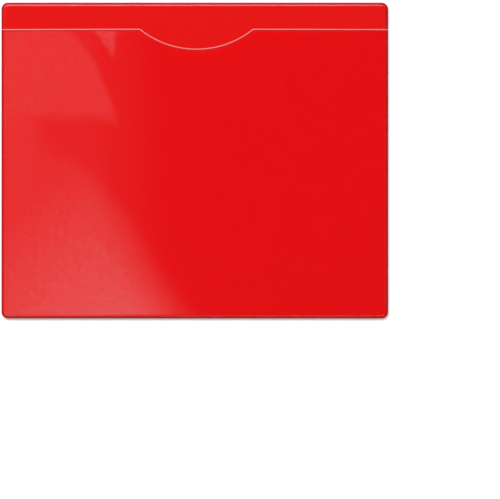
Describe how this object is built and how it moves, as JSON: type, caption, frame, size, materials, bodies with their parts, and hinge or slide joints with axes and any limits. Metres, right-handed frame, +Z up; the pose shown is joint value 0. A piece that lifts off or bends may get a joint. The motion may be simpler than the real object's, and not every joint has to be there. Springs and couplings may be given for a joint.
{
  "type": "magnetic document pocket",
  "caption": "Flat red vinyl pocket with a clear front film, welded on three sides and open at the top with a thumb notch, held to steel by magnet strips on its rear.",
  "frame": {"origin": "middle of the upper magnet strip's rear face, which lies on the steel surface", "axes": "+X to the right as the reader sees it, +Y out of the rear towards the steel, +Z up towards the open mouth"},
  "size_m": [0.2954, 0.0103, 0.2412],
  "materials": {
    "red_vinyl": "smooth flexible vinyl, low gloss",
    "clear_vinyl": "clear glossy film with faint ripples",
    "magnet_rubber": "matt flexible magnet",
    "clear_adhesive": "thin adhesive layer"
  },
  "bodies": {
    "root": {"back_sheet": "red_vinyl", "front_film": "clear_vinyl", "upper_magnet_strip": "magnet_rubber", "lower_magnet_strip": "magnet_rubber", "upper_strip_adhesive": "clear_adhesive", "lower_strip_adhesive": "clear_adhesive"}
  },
  "joints": []
}
